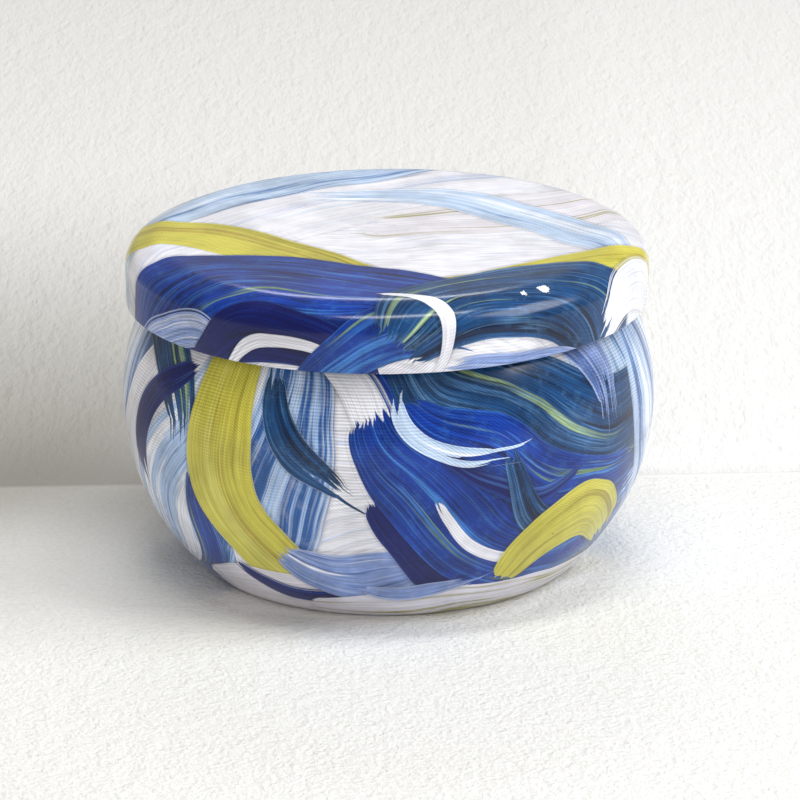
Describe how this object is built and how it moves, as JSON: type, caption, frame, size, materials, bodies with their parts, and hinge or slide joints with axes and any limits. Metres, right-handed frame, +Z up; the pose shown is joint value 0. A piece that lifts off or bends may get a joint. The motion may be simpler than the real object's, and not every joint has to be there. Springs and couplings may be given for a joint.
{
  "type": "talcum powder tin",
  "caption": "Squat pot-bellied drawn tin with a slip-on lid, holding talc under a sifter dish, a powder puff in the dish and a sealing wad in the lid.",
  "frame": {"origin": "middle of the foot's flat face, on the surface that the tin stands on", "axes": "+Z up along the tin's axis; -Y towards the front; the puff's band runs along X"},
  "size_m": [0.077, 0.077, 0.049],
  "materials": {
    "tin_print": "gloss",
    "lid_print": "gloss",
    "wad_board": "matte",
    "sifter_plastic": "satin",
    "talc": "matte",
    "velour": "matte",
    "puff_foam": "matte",
    "satin": "satin",
    "ribbon_satin": "satin"
  },
  "bodies": {
    "tin": {"tin_body": "tin_print", "powder": "talc"},
    "sifter": {"sifter": "sifter_plastic"},
    "puff": {"puff_face": "velour", "puff_core": "puff_foam", "puff_back": "satin", "puff_ribbon": "ribbon_satin"},
    "wad": {"lid_wad": "wad_board"},
    "lid": {"lid": "lid_print"}
  },
  "joints": [
    {"name": "sifter_lift", "type": "slide", "parent": "tin", "child": "sifter", "axis": [0, 0, 1], "range_m": [0, 0.022]},
    {"name": "puff_lift", "type": "slide", "parent": "sifter", "child": "puff", "axis": [0, 0, 1], "range_m": [0, 0.018]},
    {"name": "lid_lift", "type": "slide", "parent": "puff", "child": "wad", "axis": [0, 0, 1], "range_m": [0, 0.03]},
    {"name": "lid_turn", "type": "hinge", "parent": "wad", "child": "lid", "pos_m": [0, 0, 0.049], "axis": [0, 0, 1], "continuous": true}
  ]
}
